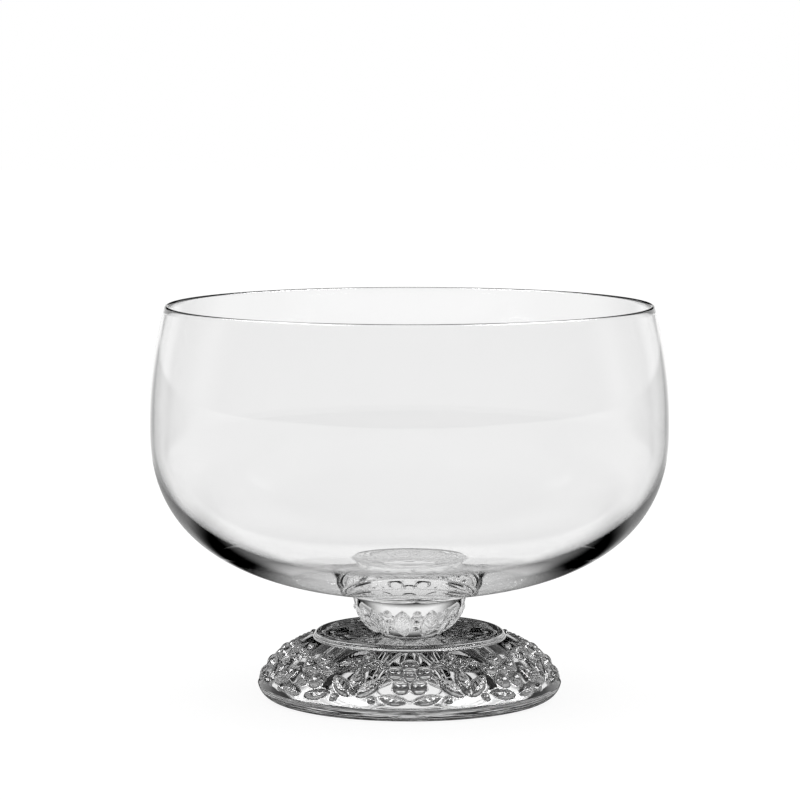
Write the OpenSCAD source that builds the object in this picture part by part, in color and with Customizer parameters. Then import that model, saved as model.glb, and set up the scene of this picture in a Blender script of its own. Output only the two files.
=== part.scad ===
// Footed dessert bowl in clear crystal: a thin blown bowl on a short cup-shaped stem,
// which stands on a pressed foot with a relief of rosettes, leaves and berries.
// Origin at the middle of the standing ring, +Z up, millimetres.

/* [Bowl] */
// Height of the bowl by itself, from its ground pad to its rim
bowl_h = 62.2; // [50:0.1:80]
// Largest diameter of the bowl, over the glass
belly_d = 112; // [96:0.5:130]
// Height of the largest diameter above the pad
belly_h = 37.5; // [34:0.1:44]
// How far the rim is drawn in from the largest diameter, on each side
rim_in = 3.5; // [1:0.1:8]
// Thickness of the glass at the rim and the side
wall_t = 1; // [0.8:0.1:2.5]
// Thickness of the glass at the middle of the bottom
bottom_t = 2.5; // [2:0.1:8]
// Height above the pad at which the inside starts to round in
spring_h = 36; // [30:0.1:37]
// Squareness of the outside below the belly, 2 is an ellipse
outer_power = 2.5; // [2:0.05:3]
// Squareness of the inside below the spring line, 2 is an ellipse
inner_power = 2.45; // [2:0.05:3]

/* [Stem] */
// Height of the stem between its two ground faces
stem_h = 9.1; // [6:0.1:16]
// Diameter of the ground face under the bowl, the same on bowl and stem
pad_d = 24; // [14:0.5:24]
// How far the stem's rounded shoulder stands out beyond that face
shoulder_w = 0.4; // [0.3:0.1:4]
// Height of the rounded shoulder
shoulder_h = 0.7; // [0.5:0.1:2.5]
// Diameter of the stem's lower ground face, the same on the foot's seat
waist_d = 12; // [9:0.5:13]
// How far the side of the stem swells out from a straight cone
stem_swell = 1.2; // [0.2:0.1:1.2]

/* [Foot] */
// Height of the seat for the stem
foot_h = 13.4; // [12:0.1:18]
// Largest diameter of the foot, at the edge of its lip
foot_d = 65.8; // [62:0.2:80]
// Height of the lip's edge
lip_h = 3; // [2:0.1:4]
// How far the lip tucks in from its edge down to the standing ring
lip_tuck = 2.8; // [0.6:0.1:3]
// How far the lip swells out from a straight line
lip_swell = 0.6; // [0.1:0.05:0.6]
// Width of the flat standing ring
stand_w = 5.1; // [4:0.1:10]
// Depth of the hollow under the foot
hollow_h = 3; // [1:0.1:3.8]
// How far the roof of the hollow swells up from a straight line
hollow_swell = 0.4; // [0.1:0.1:0.8]
// How far the dome swells out from a straight cone
dome_swell = 1.2; // [0.6:0.1:2.4]
// Middle diameter of the bead round the shoulder
bead_d = 39; // [36:0.5:42]
// Width of the shoulder bead
bead_w = 2.6; // [1.6:0.1:3.4]
// How far the shoulder bead stands out
bead_rise = 1.2; // [0.6:0.1:1.6]
// Drop from the stem's seat to the outer edge of the shoulder bead
bead_drop = 0.5; // [0.2:0.1:1.5]
// Drop from the stem's seat to the outer edge of the dish
dish_drop = 0.1; // [0.1:0.1:1]
// How far the dish inside the bead dips below a straight line
dish_dip = 0.5; // [0.2:0.1:1]

/* [Relief] */
// Number of rosettes round the dome
rosettes = 8; // [6:1:9]
// Round lobes in one rosette
lobes = 5; // [5:1:7]
// Radius of a lobe
lobe_r = 1.9; // [1.4:0.1:2]
// Distance of a lobe from the rosette's middle
lobe_reach = 3.2; // [2.4:0.1:3.2]
// Radius of the bead in the middle of a rosette
heart_r = 1.3; // [0.8:0.1:1.4]
// How far lobes and hearts stand out of the dome
lobe_rise = 1.3; // [0.7:0.1:1.4]
// Length of a leaf on the dome
leaf_l = 6.6; // [5:0.2:7]
// Width of a leaf on the dome
leaf_w = 2.8; // [2:0.1:3]
// How far leaves stand out
leaf_rise = 1; // [0.5:0.1:1.2]
// Angle of the two side leaves to the upright one
leaf_spread = 44; // [40:1:48]
// Gap between a leaf and the point from which its three leaves spread
leaf_gap = 1.2; // [1:0.1:1.6]
// Distance of that point from the lip's edge
spray_up = 1.6; // [1:0.1:2.4]
// Radius of a berry
berry_r = 0.9; // [0.6:0.05:1]
// Distance of a berry from the middle of its trio
berry_reach = 1.2; // [1.1:0.05:1.4]
// How far berries stand out of the dome
berry_rise = 0.8; // [0.5:0.05:0.9]
// Distance of a berry trio's middle from the shoulder bead
berry_down = 3.3; // [2.8:0.1:3.8]
// Number of leaves in the ring round the stem
calyx_leaves = 10; // [6:1:11]
// Length of a leaf round the stem
calyx_l = 9; // [6:0.2:9.4]
// Width of a leaf round the stem
calyx_w = 4.2; // [3:0.1:4.4]
// How far the leaves round the stem stand out
calyx_rise = 0.6; // [0.4:0.1:0.8]

/* [Joints] */
// Thickness of the clear bond between two ground faces
bond_t = 0.15; // [0.1:0.01:0.3]
// How far the bond stays inside the edge of the faces
bond_margin = 0.3; // [0.1:0.05:1]

/* [Hidden] */
$fn = 96;
crystal = [0.90, 0.93, 0.94, 0.40];
clear_bond = [0.97, 0.97, 0.94, 0.40];
belly_r = belly_d / 2;
pad_r = pad_d / 2;
crown_r = pad_r + shoulder_w;
waist_r = waist_d / 2;
foot_r = foot_d / 2;
stand_r = foot_r - lip_tuck;
bead_r = bead_d / 2;

// Straight pieces that make up a curve of the outlines
curve_steps = 28;
wall_steps = 10;
edge_steps = 8;

// Depth to which a leaf is rooted in the glass under it
leaf_root = 1.4;

// Heights of the joints, each piece standing on the one below it
stem_z = foot_h + bond_t;
bowl_bond_z = stem_z + stem_h;
bowl_z = bowl_bond_z + bond_t;

// Points on a circular arc from a to b that swells to the right of that line by rise
function arc(a, b, rise, steps) =
    let (chord = norm(b - a),
         side = [(b - a)[1], a[0] - b[0]] / chord,
         radius = (chord * chord / 4 + rise * rise) / (2 * abs(rise)),
         centre = (a + b) / 2 + side * (rise - sign(rise) * radius),
         half_turn = asin(chord / 2 / radius),
         middle = atan2(side[1], side[0]) + (rise < 0 ? 180 : 0))
    [for (i = [0 : steps])
        let (turn = middle + sign(rise) * half_turn * (2 * i / steps - 1))
        centre + radius * [cos(turn), sin(turn)]];

// Radius of a rounded-square curve, at a drop below the height where it has its full radius
function squared_r(full_r, depth, power, drop) =
    full_r * pow(max(0, 1 - pow(max(0, drop) / depth, power)), 1 / power);

// Radius of the bowl's outside at a height above the pad
side_bend = (pow(bowl_h - belly_h, 2) + rim_in * rim_in) / (2 * rim_in);
function outside_r(z) = z > belly_h
    ? belly_r - side_bend + sqrt(side_bend * side_bend - pow(z - belly_h, 2))
    : squared_r(belly_r, belly_h, outer_power, belly_h - z);

// Points of a rounded-square curve from radius start_r out to its full radius
function squared_curve(full_r, full_z, depth, power, start_r) =
    let (first = asin(pow(start_r / full_r, power / 2)))
    [for (i = [0 : curve_steps])
        let (turn = first + (90 - first) * i / curve_steps)
        [full_r * pow(sin(turn), 2 / power), full_z - depth * pow(cos(turn), 2 / power)]];

function reversed(points) = [for (i = [len(points) - 1 : -1 : 0]) points[i]];

module bowl_outline() {
    edge_r = wall_t / 2;
    edge_z = bowl_h - edge_r;
    inner_full_r = outside_r(spring_h) - wall_t;
    outer_low = squared_curve(belly_r, belly_h, belly_h, outer_power, pad_r);
    outer_high = [for (i = [1 : wall_steps])
        let (z = belly_h + (edge_z - belly_h) * i / wall_steps) [outside_r(z), z]];
    rim_edge = [for (i = [1 : edge_steps - 1])
        let (turn = 180 * i / edge_steps)
        [outside_r(edge_z) - edge_r, edge_z] + edge_r * [cos(turn), sin(turn)]];
    inner_high = [for (i = [wall_steps : -1 : 1])
        let (z = spring_h + (edge_z - spring_h) * i / wall_steps) [outside_r(z) - wall_t, z]];
    inner_low = squared_curve(inner_full_r, spring_h, spring_h - bottom_t, inner_power, 0);
    polygon(concat([[0, 0], [pad_r, 0]], outer_low, outer_high, rim_edge, inner_high, reversed(inner_low)));
}

module bowl() {
    color(crystal)
        translate([0, 0, bowl_z])
            rotate_extrude()
                bowl_outline();
}

module bond(z, face_r) {
    color(clear_bond)
        translate([0, 0, z])
            cylinder(h = bond_t, r = face_r - bond_margin);
}

module bowl_bond() {
    bond(bowl_bond_z, pad_r);
}

module stem_bond() {
    bond(foot_h, waist_r);
}

module stem() {
    crown_z = stem_h - shoulder_h;
    side = arc([waist_r, 0], [crown_r, crown_z], stem_swell, wall_steps);
    shoulder = [for (i = [1 : edge_steps])
        let (turn = 90 * i / edge_steps)
        [pad_r + (crown_r - pad_r) * cos(turn), crown_z + shoulder_h * sin(turn)]];
    color(crystal)
        translate([0, 0, stem_z])
            rotate_extrude()
                polygon(concat([[0, 0]], side, shoulder, [[0, stem_h]]));
}

// The foot's dome runs from the lip's edge to the outside of the shoulder bead
dome_from = [foot_r, lip_h];
dome_to = [bead_r + bead_w / 2, foot_h - bead_drop];
dish_from = [bead_r - bead_w / 2, foot_h - dish_drop];
dome_chord = norm(dome_to - dome_from);
dome_bend = (dome_chord * dome_chord / 4 + dome_swell * dome_swell) / (2 * dome_swell);
dome_side = [(dome_to - dome_from)[1], dome_from[0] - dome_to[0]] / dome_chord;
dome_centre = (dome_from + dome_to) / 2 + dome_side * (dome_swell - dome_bend);
dome_half = asin(dome_chord / 2 / dome_bend);
dome_first = atan2(dome_side[1], dome_side[0]) - dome_half;
dome_len = dome_bend * dome_half * PI / 90;

module foot_outline() {
    under = arc([0, hollow_h], [stand_r - stand_w, 0], -hollow_swell, wall_steps);
    lip = arc([stand_r, 0], dome_from, lip_swell, edge_steps);
    dome = arc(dome_from, dome_to, dome_swell, edge_steps);
    bead = arc(dome_to, dish_from, bead_rise, edge_steps);
    dish = arc(dish_from, [waist_r, foot_h], -dish_dip, wall_steps);
    polygon(concat(under, lip, dome, bead, dish, [[0, foot_h]]));
}

// Direction of the dome's outward normal above the horizontal, at a distance up from the lip
function dome_turn(up) = dome_first + up / dome_bend * 180 / PI;
function dome_point(up) = dome_centre + dome_bend * [cos(dome_turn(up)), sin(dome_turn(up))];

// Puts a shape on the dome: its Z is the outward normal, its X runs down the dome
module on_dome(turn, up, across = 0) {
    spot = dome_point(up);
    rotate(turn + across / spot[0] * 180 / PI)
        translate([spot[0], 0, spot[1]])
            rotate([0, 90 - dome_turn(up), 0])
                children();
}

module blob(r, rise) {
    translate([0, 0, rise - r])
        sphere(r);
}

// A pointed leaf along X with a rounded crown
module leaf(l, w, rise) {
    side_r = (l * l + w * w) / (4 * w);
    crown_sag = rise / 2;
    crown_bend = (l * l / 4 + crown_sag * crown_sag) / (2 * crown_sag);
    intersection() {
        translate([0, side_r - w / 2, -leaf_root])
            cylinder(h = leaf_root + 2 * rise, r = side_r);
        translate([0, w / 2 - side_r, -leaf_root])
            cylinder(h = leaf_root + 2 * rise, r = side_r);
        translate([0, 0, rise - crown_bend])
            sphere(crown_bend);
    }
}

module rosette(turn) {
    rosette_up = dome_len / 2;
    on_dome(turn, rosette_up)
        blob(heart_r, lobe_rise);
    for (i = [0 : lobes - 1]) {
        around = 360 * i / lobes;
        on_dome(turn, rosette_up + lobe_reach * cos(around), lobe_reach * sin(around))
            blob(lobe_r, lobe_rise);
    }
}

// Three leaves that spread from one point
module spray(turn) {
    reach = leaf_gap + leaf_l / 2;
    for (way = [-1 : 1]) {
        lean = way * leaf_spread;
        on_dome(turn, spray_up + reach * cos(lean), reach * sin(lean))
            rotate(-lean)
                leaf(leaf_l, leaf_w, leaf_rise);
    }
}

module berry_trio(turn) {
    for (around = [0 : 120 : 240])
        on_dome(turn, dome_len - berry_down + berry_reach * cos(around), berry_reach * sin(around))
            blob(berry_r, berry_rise);
}

// Low pointed leaves on the dish, round the stem
module calyx() {
    middle_r = (waist_r + dish_from[0]) / 2;
    for (i = [0 : calyx_leaves - 1])
        rotate(360 * i / calyx_leaves)
            translate([middle_r, 0, foot_h - dish_dip])
                leaf(calyx_l, calyx_w, calyx_rise);
}

module foot() {
    step = 360 / rosettes;
    color(crystal)
        union() {
            rotate_extrude()
                foot_outline();
            for (i = [0 : rosettes - 1]) {
                rosette(step * i);
                spray(step * (i + 0.5));
                berry_trio(step * (i + 0.5));
            }
            calyx();
        }
}

bowl();
bowl_bond();
stem();
stem_bond();
foot();
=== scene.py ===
import bpy
import bmesh
import math
import numpy as np
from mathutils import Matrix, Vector


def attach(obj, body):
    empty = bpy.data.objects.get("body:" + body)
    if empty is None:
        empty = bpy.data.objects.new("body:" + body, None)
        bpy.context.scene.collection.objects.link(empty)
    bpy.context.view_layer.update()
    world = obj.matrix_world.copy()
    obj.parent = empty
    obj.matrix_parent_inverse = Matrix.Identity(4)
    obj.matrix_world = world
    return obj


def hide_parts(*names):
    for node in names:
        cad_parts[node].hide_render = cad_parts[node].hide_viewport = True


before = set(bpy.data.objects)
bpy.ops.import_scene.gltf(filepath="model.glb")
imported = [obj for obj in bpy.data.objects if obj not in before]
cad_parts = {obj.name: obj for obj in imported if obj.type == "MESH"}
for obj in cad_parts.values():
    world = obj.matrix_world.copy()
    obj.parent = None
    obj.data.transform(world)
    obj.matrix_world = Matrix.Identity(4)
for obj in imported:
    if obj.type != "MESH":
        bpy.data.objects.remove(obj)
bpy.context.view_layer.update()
mm = 0.001
scene = bpy.context.scene


# shader maths
class Wire:
    # one output socket of a node tree; numbers and wires mix freely in expressions
    def __init__(self, tree, socket=None):
        self.tree = tree
        self.socket = socket

    def node(self, kind, settings, sockets, out=0):
        made = self.tree.nodes.new("ShaderNode" + kind)
        for key, value in settings.items():
            if key == "stops":
                ramp = made.color_ramp
                while len(ramp.elements) < len(value):
                    ramp.elements.new(1)
                for stop, (place, grey) in zip(ramp.elements, value):
                    stop.position = place
                    stop.color = (grey, grey, grey, 1)
            else:
                setattr(made, key, value)
        for key, value in sockets.items():
            if isinstance(value, Wire):
                self.tree.links.new(value.socket, made.inputs[key])
            else:
                made.inputs[key].default_value = value
        return Wire(self.tree, made.outputs[out] if made.outputs else None)

    def calc(self, operation, *values):
        return self.node("Math", {"operation": operation}, dict(enumerate(values)))

    def __add__(self, other): return self.calc("ADD", self, other)
    def __radd__(self, other): return self.calc("ADD", other, self)
    def __sub__(self, other): return self.calc("SUBTRACT", self, other)
    def __rsub__(self, other): return self.calc("SUBTRACT", other, self)
    def __mul__(self, other): return self.calc("MULTIPLY", self, other)
    def __rmul__(self, other): return self.calc("MULTIPLY", other, self)
    def __gt__(self, other): return self.calc("GREATER_THAN", self, other)
    def __lt__(self, other): return self.calc("LESS_THAN", self, other)


def newTree(owner):
    owner.use_nodes = True
    owner.node_tree.nodes.clear()
    return Wire(owner.node_tree)


# turned shapes
def arc(a, b, swell, steps):
    # points on a circle from a to b that swells to the right of that line
    a, b = Vector(a), Vector(b)
    chord = (b - a).length
    side = Vector((b.y - a.y, a.x - b.x)) / chord
    bend = (chord * chord / 4 + swell * swell) / (2 * abs(swell))
    way = math.copysign(1, swell)
    centre = (a + b) / 2 + side * (swell - way * bend)
    half = math.asin(chord / 2 / bend)
    middle = math.atan2(side.y, side.x) + (math.pi if swell < 0 else 0)
    turns = [middle + way * half * (2 * i / steps - 1) for i in range(steps + 1)]
    return [centre + bend * Vector((math.cos(t), math.sin(t))) for t in turns]


def squaredCurve(fullR, fullZ, depth, power, startR, steps):
    first = math.asin((startR / fullR) ** (power / 2))
    turns = [first + (math.pi / 2 - first) * i / steps for i in range(steps + 1)]
    return [Vector((fullR * math.sin(t) ** (2 / power), fullZ - depth * math.cos(t) ** (2 / power)))
            for t in turns]


turnSectors = 16
weldGap = 1e-6


def turnOutline(outline, segments):
    # spins an outline of (radius, height) points in millimetres round Z: one sector, then its copies
    bm = bmesh.new()
    line = [bm.verts.new((p[0] * mm, 0, p[1] * mm)) for p in outline]
    edges = [bm.edges.new(pair) for pair in zip(line, line[1:])]
    sector = 2 * math.pi / turnSectors
    about = {"cent": (0, 0, 0), "axis": (0, 0, 1), "dvec": (0, 0, 0)}
    bmesh.ops.spin(bm, geom=line + edges, angle=sector, steps=segments // turnSectors, **about)
    bmesh.ops.spin(bm, geom=bm.verts[:] + bm.edges[:] + bm.faces[:], angle=2 * math.pi - sector,
                   steps=turnSectors - 1, use_duplicate=True, **about)
    bmesh.ops.remove_doubles(bm, verts=bm.verts, dist=weldGap)
    bmesh.ops.recalc_face_normals(bm, faces=bm.faces)
    return bm


def glassPiece(name, bm, finish, joint=None, onJoint=None):
    # joint is the clear bonded finish for the faces that touch the next piece
    mesh = bpy.data.meshes.new(name)
    for face in bm.faces:
        face.smooth = True
        if joint and onJoint(face.calc_center_median() / mm, face.normal):
            face.material_index = 1
    bm.to_mesh(mesh)
    bm.free()
    mesh.materials.append(finish)
    if joint:
        mesh.materials.append(joint)
    piece = bpy.data.objects.new(name, mesh)
    scene.collection.objects.link(piece)
    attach(piece, "root")
    print(name, len(mesh.vertices), "vertices")
    return piece


# relief, as heights in millimetres over a turned surface
reliefEdge = 0.8
onSurface = 0.002
leafCut = {
    "tipDrop": 0.5, "ribW": 0.22, "sideVein": 0.5, "veinPitch": 5.0, "edge": 0.45, "skirt": -2, "veined": 0.9}


def softMax(heights, soft):
    # the larger of several heights, with the valleys between them rounded as in a press mould
    top = np.maximum.reduce(heights)
    return top + soft * np.log(sum(np.exp((h - top) / soft) for h in heights))


def blob(u, v, r, rise):
    # how far a ball sunk in the surface stands out of it, at a place u, v from its middle
    inside = r * r - u * u - v * v
    return np.sign(inside) * np.sqrt(np.abs(inside)) - (r - rise)


def leaf(u, v, lean, length, width, rise, vein):
    # a pointed leaf from -length/2 to length/2 with a crown, a midrib and side veins
    s = leafCut
    along = v * np.cos(lean) + u * np.sin(lean)
    across = u * np.cos(lean) - v * np.sin(lean)
    sideR = (length * length + width * width) / (4 * width)
    inside = sideR - np.hypot(along, np.abs(across) + sideR - width / 2)
    crown = rise * (1 - s["tipDrop"] * np.minimum(1, (2 * along / length) ** 2))
    sideVeins = s["sideVein"] * np.cos(s["veinPitch"] * (along - np.abs(across)))
    rib = np.exp(-(across / s["ribW"]) ** 2) - sideVeins
    edge = np.clip(inside / s["edge"], s["skirt"], 1)
    rounded = np.where(edge > 0, np.sqrt(np.maximum(1 - (1 - edge) ** 2, 0)), edge)
    return crown * rounded + vein * rib * (edge > s["veined"])


def leafFrom(u, v, lean, gap, length, width, rise, vein):
    # a leaf that points away from u = v = 0, at a lean to the upright
    lean = math.radians(lean)
    reach = gap + length / 2
    return leaf(u - reach * math.sin(lean), v - reach * math.cos(lean), lean, length, width, rise, vein)


def foldTurn(turn, repeats):
    # the angle from the middle of the nearest repeat round the axis
    step = 2 * math.pi / repeats
    return np.abs((turn + step / 2) % step - step / 2)


def pressRelief(bm, side, baseZ, relief, s):
    # lifts the turned surface between two points of its outline, along its normals
    a, b, swell = Vector(side[0]), Vector(side[1]), side[2]
    chord = (b - a).length
    bend = (chord * chord / 4 + swell * swell) / (2 * swell)
    out = Vector((b.y - a.y, a.x - b.x)) / chord
    centre = (a + b) / 2 + out * (swell - bend)
    half = math.asin(chord / 2 / bend)
    length = 2 * half * bend
    verts = list(bm.verts)
    at = np.array([v.co for v in verts]) / mm
    turn, r, z = np.arctan2(at[:, 1], at[:, 0]), np.hypot(at[:, 0], at[:, 1]), at[:, 2] - baseZ
    angle = np.arctan2(z - centre.y, r - centre.x)
    up = (angle - math.atan2(out.y, out.x) + half) * bend
    onSide = (np.abs(np.hypot(z - centre.y, r - centre.x) - bend) < onSurface) & (up > 0) & (up < length)
    rise = relief(turn, up, r, length, s) * onSide * np.clip(np.minimum(up, length - up) / reliefEdge, 0, 1)
    newR = r + rise * np.cos(angle)
    at[:, 0], at[:, 1], at[:, 2] = newR * np.cos(turn), newR * np.sin(turn), at[:, 2] + rise * np.sin(angle)
    for v, p in zip(verts, at):
        v.co = p * mm
    bm.normal_update()


# finishes
finishSize = {
    "waveDetail": 2.0, "streakScale": 40.0, "streakDetail": 3.0, "streakFrom": 0.3, "streakTo": 0.7,
    "ior": 1.52}


def clearGlass(name, ripple, rippleSize, tint, s):
    # fire-polished crystal: a faint long ripple in the surface, and faint streaks of tint
    mat = bpy.data.materials.new(name)
    w = newTree(mat)
    place = w.node("TexCoord", {}, {}, out="Object")
    waves = w.node("TexNoise", {}, {"Vector": place, "Scale": 1 / (rippleSize * mm), "Detail": s["waveDetail"]})
    streaks = w.node("TexNoise", {}, {"Vector": place, "Scale": s["streakScale"], "Detail": s["streakDetail"]})
    shade = w.node("ValToRGB", {"stops": [(s["streakFrom"], tint), (s["streakTo"], 1.0)]}, {"Fac": streaks})
    bump = w.node("Bump", {}, {"Height": waves, "Strength": 1.0, "Distance": ripple * mm})
    skin = w.node("BsdfPrincipled", {}, {
        "Base Color": shade, "Roughness": 0.0, "IOR": s["ior"], "Transmission Weight": 1.0, "Normal": bump})
    w.node("OutputMaterial", {}, {"Surface": skin})
    return mat


def clearJoint(name):
    mat = bpy.data.materials.new(name)
    w = newTree(mat)
    skin = w.node("BsdfPrincipled", {}, {
        "Base Color": (1, 1, 1, 1), "Roughness": 0.0, "Transmission Weight": 1.0, "Alpha": 0.0})
    w.node("OutputMaterial", {}, {"Surface": skin})
    return mat


blownGlass = clearGlass("blown_glass", ripple=0.0004, rippleSize=14, tint=0.99, s=finishSize)
pressedGlass = clearGlass("pressed_glass", ripple=0.002, rippleSize=3, tint=0.985, s=finishSize)
bondedFace = clearJoint("bonded_face")

# heights of the stack
stack = {"foot": 13.4, "bond": 0.15, "stem": 9.1, "bowl": 62.2}
stemZ = stack["foot"] + stack["bond"]
bowlBondZ = stemZ + stack["stem"]
bowlZ = bowlBondZ + stack["bond"]
bondMargin = 0.3
jointTol = 0.01

# bowl
bowlSize = {
    "height": stack["bowl"], "belly": 56.0, "bellyZ": 37.5, "rimIn": 3.5, "wall": 1.0, "bottom": 2.5,
    "springZ": 36.0, "outerPower": 2.5, "innerPower": 2.45, "pad": 12.0,
    "lowSteps": 56, "sideSteps": 20, "rimSteps": 10, "segments": 256}


def outsideR(z, s):
    if z > s["bellyZ"]:
        bend = ((s["height"] - s["bellyZ"]) ** 2 + s["rimIn"] ** 2) / (2 * s["rimIn"])
        return s["belly"] - bend + math.sqrt(bend * bend - (z - s["bellyZ"]) ** 2)
    drop = (s["bellyZ"] - z) / s["bellyZ"]
    return s["belly"] * (1 - drop ** s["outerPower"]) ** (1 / s["outerPower"])


def bowlOutline(s):
    edge = s["wall"] / 2
    edgeZ = s["height"] - edge
    innerR = outsideR(s["springZ"], s) - s["wall"]
    heights = lambda low: [low + (edgeZ - low) * i / s["sideSteps"] for i in range(1, s["sideSteps"] + 1)]
    outerLow = squaredCurve(s["belly"], s["bellyZ"], s["bellyZ"], s["outerPower"], s["pad"], s["lowSteps"])
    outerHigh = [Vector((outsideR(z, s), z)) for z in heights(s["bellyZ"])]
    rimMiddle = Vector((outsideR(edgeZ, s) - edge, edgeZ))
    rimTurns = [math.pi * i / s["rimSteps"] for i in range(1, s["rimSteps"])]
    rim = [rimMiddle + edge * Vector((math.cos(t), math.sin(t))) for t in rimTurns]
    innerHigh = [Vector((outsideR(z, s) - s["wall"], z)) for z in reversed(heights(s["springZ"]))]
    innerLow = squaredCurve(innerR, s["springZ"], s["springZ"] - s["bottom"], s["innerPower"], 0, s["lowSteps"])
    pad = [Vector((r, 0)) for r in (0, s["pad"] - bondMargin)]
    lowEdge = Vector((s["pad"], 0))
    points = pad + [lowEdge] + outerLow + outerHigh + rim + innerHigh + innerLow[::-1]
    return [(p.x, p.y + bowlZ) for p in points]


def onBowlJoint(at, out):
    return at.z < bowlZ + jointTol and at.xy.length < bowlSize["pad"] - bondMargin


bowlShape = turnOutline(bowlOutline(bowlSize), bowlSize["segments"])
bowl = glassPiece("clear_bowl", bowlShape, blownGlass, bondedFace, onBowlJoint)
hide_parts("bowl")

# stem: a solid cup with a ring of slender upright leaves pressed into its side
stemSize = {
    "height": stack["stem"], "pad": 12.0, "shoulderW": 0.4, "shoulderH": 0.7, "waist": 6.0, "swell": 1.2,
    "leaves": 11, "leafL": 8.2, "leafW": 4.6, "leafRise": 0.55, "vein": 0.12, "leafUp": 5.0, "soft": 0.04,
    "dews": [(8.2, 0.85), (6.0, 0.75), (4.0, 0.65)], "dewRise": 0.6,
    "sideSteps": 56, "edgeSteps": 8, "segments": 400}


def stemSide(s):
    return (s["waist"], 0), (s["pad"] + s["shoulderW"], s["height"] - s["shoulderH"]), s["swell"]


def stemOutline(s):
    crownZ = s["height"] - s["shoulderH"]
    turns = [math.pi / 2 * i / s["edgeSteps"] for i in range(1, s["edgeSteps"] + 1)]
    shoulder = [Vector((s["pad"] + s["shoulderW"] * math.cos(t), crownZ + s["shoulderH"] * math.sin(t)))
                for t in turns]
    low = [Vector((0, 0)), Vector((s["waist"] - bondMargin, 0))]
    top = [Vector((s["pad"] - bondMargin, s["height"])), Vector((0, s["height"]))]
    return [(p.x, p.y + stemZ) for p in low + arc(*stemSide(s), s["sideSteps"]) + shoulder + top]


def stemRelief(turn, up, r, length, s):
    turn = foldTurn(turn, s["leaves"])
    step = 2 * math.pi / s["leaves"]
    leafW = s["leafW"] * r / s["pad"]
    shapes = [leaf(turn * r, up - s["leafUp"], 0, s["leafL"], leafW, s["leafRise"], s["vein"])]
    for dewUp, dewR in s["dews"]:
        shapes.append(blob((step / 2 - turn) * r, up - dewUp, dewR, s["dewRise"]))
    return softMax(shapes + [np.zeros_like(r)], s["soft"])


def onStemJoint(at, out):
    low = at.z < stemZ + jointTol and at.xy.length < stemSize["waist"] - bondMargin
    high = at.z > bowlBondZ - jointTol and at.xy.length < stemSize["pad"] - bondMargin
    return low or high


stemShape = turnOutline(stemOutline(stemSize), stemSize["segments"])
pressRelief(stemShape, stemSide(stemSize), stemZ, stemRelief, stemSize)
stem = glassPiece("cup_stem", stemShape, pressedGlass, bondedFace, onStemJoint)
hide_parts("stem")

# bonds: thin clear films between the ground faces
bondSize = {"segments": 128}


def bondFilm(name, z, faceR, node):
    r = faceR - bondMargin
    top = z + stack["bond"]
    film = turnOutline([(0, z), (r, z), (r, top), (0, top)], bondSize["segments"])
    piece = glassPiece(name, film, pressedGlass, bondedFace, lambda at, out: abs(out.z) > 0.5)
    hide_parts(node)


bondFilm("film_under_bowl", bowlBondZ, bowlSize["pad"], "bowl_bond")
bondFilm("film_under_stem", stack["foot"], stemSize["waist"], "stem_bond")

# foot
footSize = {
    "height": stack["foot"], "edge": 32.9, "lipH": 3.0, "lipTuck": 2.8, "lipSwell": 0.6, "standW": 5.1,
    "hollow": 3.0, "hollowSwell": 0.4, "domeSwell": 1.2, "beadR": 19.5, "beadW": 2.6, "beadRise": 1.2,
    "beadDrop": 0.5, "dishDrop": 0.1, "dishDip": 0.5, "seat": 6.0,
    "standSwell": 1e-6, "domeSteps": 72, "dishSteps": 28, "beadSteps": 10, "lipSteps": 8, "standSteps": 3,
    "underSteps": 8, "segments": 704}
reliefSize = {
    "repeats": 8, "lobes": 5, "lobeR": 1.9, "lobeReach": 3.2, "heartR": 1.3, "lobeRise": 1.3,
    "leafL": 6.6, "leafW": 2.8, "leafRise": 1.0, "leafSpread": 44, "leafGap": 1.2, "sprayUp": 1.6,
    "berryR": 0.9, "berryReach": 1.2, "berryRise": 0.8, "berryDown": 3.3, "vein": 0.12, "soft": 0.06,
    "grapes": [(0, 6.7), (1.0, 5.6), (2.0, 4.7)], "grapeR": 0.85, "grapeRise": 0.7,
    "sprigLean": 60, "sprigGap": 4.9, "sprigL": 4.0, "sprigW": 1.7, "sprigRise": 0.7,
    "lowLean": 80, "lowGap": 0.7, "lowL": 6.0, "lowW": 2.2, "lowRise": 0.7, "lowUp": 1.5, "dropAt": (8.2, 2.0)}
calyxSize = {"leaves": 10, "leafL": 9.0, "leafW": 4.2, "rise": 0.6, "vein": 0.12, "soft": 0.06, "slack": 0.2}


def domeSide(s):
    return (s["edge"], s["lipH"]), (s["beadR"] + s["beadW"] / 2, s["height"] - s["beadDrop"]), s["domeSwell"]


def dishSide(s):
    return (s["beadR"] - s["beadW"] / 2, s["height"] - s["dishDrop"]), (s["seat"], s["height"]), -s["dishDip"]


def footOutline(s):
    standR = s["edge"] - s["lipTuck"]
    under = arc((0, s["hollow"]), (standR - s["standW"], 0), -s["hollowSwell"], s["underSteps"])
    stand = arc((standR - s["standW"], 0), (standR, 0), s["standSwell"], s["standSteps"])
    dome = arc(*domeSide(s), s["domeSteps"])
    lip = arc((standR, 0), dome[0], s["lipSwell"], s["lipSteps"])
    dish = arc(*dishSide(s), s["dishSteps"])
    bead = arc(dome[-1], dish[0], s["beadRise"], s["beadSteps"])
    seat = [Vector((s["seat"] - bondMargin, s["height"])), Vector((0, s["height"]))]
    return under + stand[1:] + lip[1:] + dome[1:] + bead[1:] + dish[1:] + seat


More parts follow.
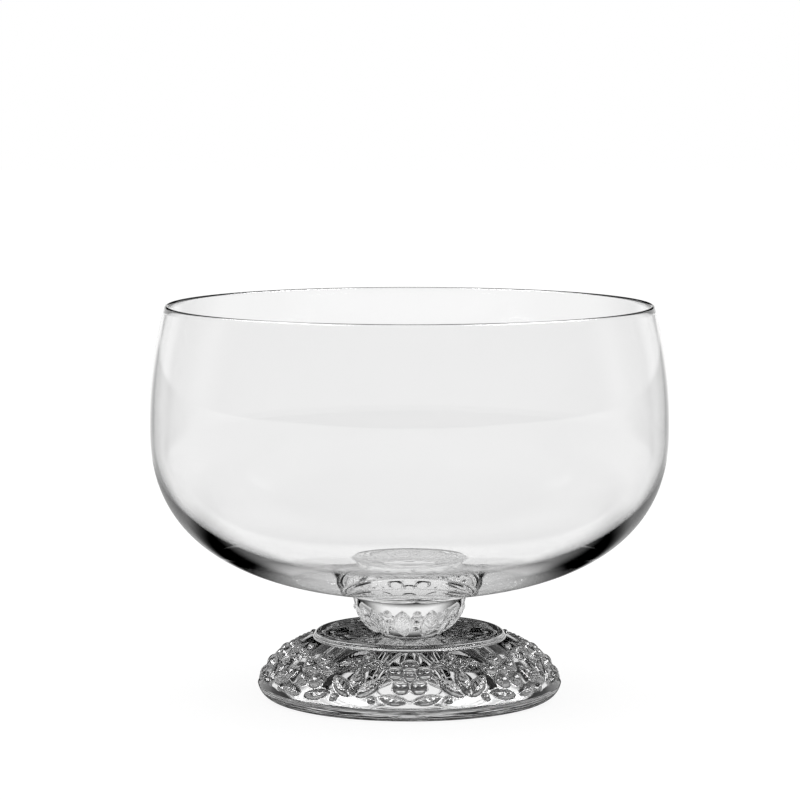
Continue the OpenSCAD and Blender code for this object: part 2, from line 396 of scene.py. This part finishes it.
def domeRelief(turn, up, r, length, s):
    # rosettes at the middles of the repeats, and sprays of three leaves under a bunch of berries between them
    aside = foldTurn(turn, s["repeats"])
    u, v = aside * r, up - length / 2
    shapes = [blob(u, v, s["heartR"], s["lobeRise"])]
    for i in range(s["lobes"]):
        around = 2 * math.pi * i / s["lobes"]
        shapes.append(blob(u - s["lobeReach"] * math.sin(around), v - s["lobeReach"] * math.cos(around),
                           s["lobeR"], s["lobeRise"]))
    sprig = s["sprigLean"], s["sprigGap"], s["sprigL"], s["sprigW"], s["sprigRise"], s["vein"]
    low = s["lowLean"], s["lowGap"], s["lowL"], s["lowW"], s["lowRise"], s["vein"]
    shapes.append(leafFrom(u, v, *sprig))
    shapes.append(leafFrom(u, up - s["lowUp"], *low))
    shapes.append(blob(u - s["dropAt"][0], up - s["dropAt"][1], s["grapeR"], s["grapeRise"]))
    u = (math.pi / s["repeats"] - aside) * r
    spray = s["leafGap"], s["leafL"], s["leafW"], s["leafRise"], s["vein"]
    for lean in (0, s["leafSpread"]):
        shapes.append(leafFrom(u, up - s["sprayUp"], lean, *spray))
    for around in (0, 2 * math.pi / 3):
        v = up - length + s["berryDown"] - s["berryReach"] * math.cos(around)
        shapes.append(blob(u - s["berryReach"] * math.sin(around), v, s["berryR"], s["berryRise"]))
    for across, down in s["grapes"]:
        shapes.append(blob(u - across, up - length + down, s["grapeR"], s["grapeRise"]))
    return softMax(shapes + [np.zeros_like(r)], s["soft"])


def calyxRelief(bm, foot, s):
    # low leaves on the dish, straight up
    outer, inner = dishSide(foot)[:2]
    lowest = foot["height"] - 2 * foot["dishDip"] - s["slack"]
    for v in bm.verts:
        r = v.co.xy.length / mm
        if inner[0] < r < outer[0] and v.co.z / mm > lowest:
            aside = foldTurn(math.atan2(v.co.y, v.co.x), s["leaves"])
            along = r * math.cos(aside) - (inner[0] + outer[0]) / 2
            shape = leaf(r * np.sin(aside), along, 0, s["leafL"], s["leafW"], s["rise"], s["vein"])
            rise = softMax([shape, np.zeros_like(shape)], s["soft"])
            v.co.z += rise * min(1, (r - inner[0]) / reliefEdge) * mm


def onFootJoint(at, out):
    return at.z > footSize["height"] - jointTol and at.xy.length < footSize["seat"] - bondMargin


footShape = turnOutline(footOutline(footSize), footSize["segments"])
pressRelief(footShape, domeSide(footSize), 0, domeRelief, reliefSize)
calyxRelief(footShape, footSize, calyxSize)
foot = glassPiece("relief_foot", footShape, pressedGlass, bondedFace, onFootJoint)
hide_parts("foot")

# floor and light: white cards and dark flags round the glass, in the world light, and painted as light and
# shade on the floor where the glass sees it
# a ray's level depends on how often glass turned it back, and on the surfaces and joints that it crossed
pathLimit = {"turned": 0.5, "often": 2.5, "inside": 0.5, "throughBowl": 3.5, "joint": 0.5, "bothJoints": 2.5}
# distances in metres from the axis, angles in degrees, each as where a fade starts and ends
stageSize = {
    "floor": 6.0, "floorGrey": 0.18, "cameraGlow": 0.88,
    "foot": (0.032, 0.036), "behindFoot": (0.04, 0.056), "near": (0.08, 0.12),
    "back": (14, 32), "nearSide": (74, 100), "farSide": (42, 60), "wing": (48, 58), "wingEnd": (102, 112),
    "nearGlow": 1.0, "backGlow": 1.1, "farGlow": 0.28, "dim": 0.36, "outerGlow": 0.55,
    # under is a painted shadow on the floor under the foot; underStem is painted light there, seen through the
    # stem
    "clear": 0.95, "under": 0.03, "underStem": 0.8}
studio = {
    "clear": 0.95, "field": (16, 44), "fieldFrom": (5, 10), "fieldTop": (30, 50), "horizon": (7, 12),
    "backFlag": (18, 30), "low": (13, 19), "lowSide": (42, 50), "side": (75, 90), "sideTop": (42, 55),
    "room": 0.78, "far": 0.3,
    "outerLow": (3, 7), "bowlLow": (14, 20), "bowlTop": (40, 56), "bowlSide": (40, 110),
    "bowlLevel": 0.9, "bowlUpper": 0.45,
    "lampFrom": (60, 72), "lampTo": (140, 152), "lampLow": (28, 34), "lampHigh": (56, 62), "lamp": 14.0,
    "backdrop": (10, 40), "backdropTop": (16, 26), "backdropLevel": 0.8,
    "wing": (44, 56), "wingFrom": (18, 26), "wingLevel": 0.9, "strip": (72, 84), "stripLevel": 0.9, "stem": 0.9}


def fade(w, value, low, high):
    # 0 below low and 1 above high, with a smooth step between
    return w.node("MapRange", {"interpolation_type": "SMOOTHSTEP"},
                  {"Value": value, "From Min": low, "From Max": high, "To Min": 0.0, "To Max": 1.0})


def bearing(w, vector):
    # degrees to the side of the view's own direction, and the vector's height
    split = w.node("SeparateXYZ", {}, {"Vector": vector}).socket.node.outputs
    x, y, z = (Wire(w.tree, socket) for socket in split)
    degrees = 180 / math.pi
    return w.calc("ARCTAN2", w.calc("ABSOLUTE", x), y) * degrees, z


def pathCounts(w, *names):
    outputs = w.node("LightPath", {}, {}).socket.node.outputs
    return [Wire(w.tree, outputs[name]) for name in names]


def turnedBack(w):
    # straight through the glass, turned back once or twice, and more often than that
    bounces, crossings = pathCounts(w, "Glossy Depth", "Transmission Depth")
    often = bounces > pathLimit["often"]
    straight = bounces < pathLimit["turned"]
    return straight, 1 - often - straight, often, crossings


def paleFloor(s):
    mat = bpy.data.materials.new("pale_floor")
    w = newTree(mat)
    straight, once, often, crossings = turnedBack(w)
    camera, bonds = pathCounts(w, "Is Camera Ray", "Transparent Depth")
    inside = crossings > pathLimit["inside"]
    throughBowl = crossings > pathLimit["throughBowl"]
    place = w.node("NewGeometry", {}, {}, out="Position")
    aside = bearing(w, place)[0]
    reach = w.node("VectorMath", {"operation": "LENGTH"}, {0: place}, out="Value")
    # the floor round the foot, in rings and sectors, as the glass sees it: a glow of painted light with painted
    # shade
    out = fade(w, reach, *s["foot"])
    ahead = fade(w, reach, *s["behindFoot"])
    near = 1 - fade(w, reach, *s["near"])
    back = 1 - fade(w, aside, *s["back"])
    far = w.calc("MAXIMUM", back * s["backGlow"], fade(w, aside, *s["farSide"]) * s["farGlow"] + s["dim"])
    far = w.calc("MAXIMUM", far, (1 - inside) * s["outerGlow"])
    wing = fade(w, aside, *s["wing"]) * (1 - fade(w, aside, *s["wingEnd"]))
    onceSeen = near * fade(w, aside, *s["nearSide"]) * s["nearGlow"] + (1 - near) * far
    # cards: the painted light that the floor shows through the glass
    cards = straight * ahead * s["clear"] + once * onceSeen + often * (back + wing)
    # under the foot: a painted shadow, and a painted patch of light where the glass is seen straight down
    # through the stem and both bonds
    throughStem = straight * (bonds > pathLimit["bothJoints"]) * throughBowl
    under = (1 - often) * s["under"] + throughStem * s["underStem"]
    # the floor shows this painted light and shade only to rays that met the glass; to the camera it is the lit
    # pale floor with its real shadow
    seen = w.node("Emission", {}, {"Color": out * cards + (1 - out) * under})
    matt = w.node("BsdfDiffuse", {}, {"Color": (s["floorGrey"],) * 3 + (1,)})
    lit = w.node("AddShader", {}, {0: matt, 1: w.node("Emission", {}, {"Color": camera * s["cameraGlow"]})})
    skin = w.node("MixShader", {}, {0: w.calc("MAXIMUM", inside, 1 - straight), 1: lit, 2: seen})
    w.node("OutputMaterial", {}, {"Surface": skin})
    return mat


def studioLight(world, s):
    w = newTree(world)
    straight, once, often, crossings = turnedBack(w)
    bonds, = pathCounts(w, "Transparent Depth")
    many = crossings > pathLimit["throughBowl"]
    outer = crossings < pathLimit["inside"]
    few = 1 - many - outer
    bonded = bonds > pathLimit["joint"]
    aside, z = bearing(w, w.node("TexCoord", {}, {}, out="Generated"))
    height = w.calc("ARCSINE", z) * (180 / math.pi)
    backFlag = fade(w, aside, *s["backFlag"])
    # seen straight through: a bright field behind, and the low sky all round through the bowl
    field = w.calc("MAXIMUM", many, fade(w, height, *s["fieldFrom"]))
    field = field * (1 - fade(w, height, *s["fieldTop"])) * (1 - fade(w, aside, *s["field"]))
    field = w.calc("MAXIMUM", field, 1 - fade(w, height, *s["horizon"]) - (1 - many))
    through = 1 - (1 - outer) * (1 - field * s["clear"])
    # turned back once or twice: a dark flag behind and pale sides for the foot, a pale room for the bowl
    upper = 1 - fade(w, height, *s["low"]) * (1 - fade(w, aside, *s["lowSide"]))
    room = backFlag * upper * (1 - fade(w, aside, *s["side"]) * (1 - s["far"]))
    room = room * (1 - fade(w, height, *s["sideTop"])) * s["room"]
    bowl = 1 - fade(w, height, *s["bowlLow"]) * (1 - w.calc("MAXIMUM", s["bowlUpper"], bonded))
    bowl = bowl * (1 - fade(w, height, *s["bowlTop"])) * (1 - fade(w, aside, *s["bowlSide"])) * s["bowlLevel"]
    bowl = bowl * (1 - outer * fade(w, height, *s["outerLow"]) * (1 - backFlag))
    # small bright cards for the outer reflections
    lamp = fade(w, aside, *s["lampFrom"]) * (1 - fade(w, aside, *s["lampTo"]))
    lamp = lamp * fade(w, height, *s["lampLow"]) * (1 - fade(w, height, *s["lampHigh"])) * s["lamp"]
    # turned back more often: a backdrop, high wings, side strips and the light in the stem
    backdrop = (1 - fade(w, aside, *s["backdrop"])) * (1 - fade(w, height, *s["backdropTop"]))
    backdrop = backdrop * s["backdropLevel"]
    wing = fade(w, aside, *s["wing"]) * fade(w, height, *s["wingFrom"]) * s["wingLevel"]
    strip = fade(w, aside, *s["strip"]) * s["stripLevel"]
    cards = w.calc("MAXIMUM", w.calc("MAXIMUM", backdrop, wing), w.calc("MAXIMUM", strip, bonded * s["stem"]))
    level = straight * through + once * (few * room + (1 - few) * bowl + outer * lamp) + often * cards
    sky = w.node("Background", {}, {"Color": level})
    w.node("OutputWorld", {}, {"Surface": sky})


floorMesh = bpy.data.meshes.new("floor")
bm = bmesh.new()
bmesh.ops.create_grid(bm, x_segments=1, y_segments=1, size=stageSize["floor"] / 2)
bm.to_mesh(floorMesh)
bm.free()
floor = bpy.data.objects.new("floor", floorMesh)
floorMesh.materials.append(paleFloor(stageSize))
scene.collection.objects.link(floor)
print("floor", stageSize["floor"], "m wide")

world = bpy.data.worlds.new("studio")
scene.world = world
studioLight(world, studio)
print("studio light", len(world.node_tree.nodes), "nodes")

# camera
cameraSize = {"x": -2.05, "back": 736.93, "height": 141.635, "tilt": 5.988, "lens": 154.7, "sensor": 36.0,
              "near": 0.01}
lens = bpy.data.cameras.new("camera")
lens.lens = cameraSize["lens"]
lens.sensor_width = cameraSize["sensor"]
lens.clip_start = cameraSize["near"]
camera = bpy.data.objects.new("camera", lens)
camera.location = (cameraSize["x"] * mm, -cameraSize["back"] * mm, cameraSize["height"] * mm)
camera.rotation_euler = (math.radians(90 - cameraSize["tilt"]), 0, 0)
scene.collection.objects.link(camera)
scene.camera = camera
print("camera", cameraSize["lens"], "mm")

scene.view_settings.view_transform = "Standard"
glassBounces = 32
scene.cycles.max_bounces = glassBounces
scene.cycles.transmission_bounces = glassBounces
scene.cycles.glossy_bounces = glassBounces
scene.cycles.transparent_max_bounces = glassBounces
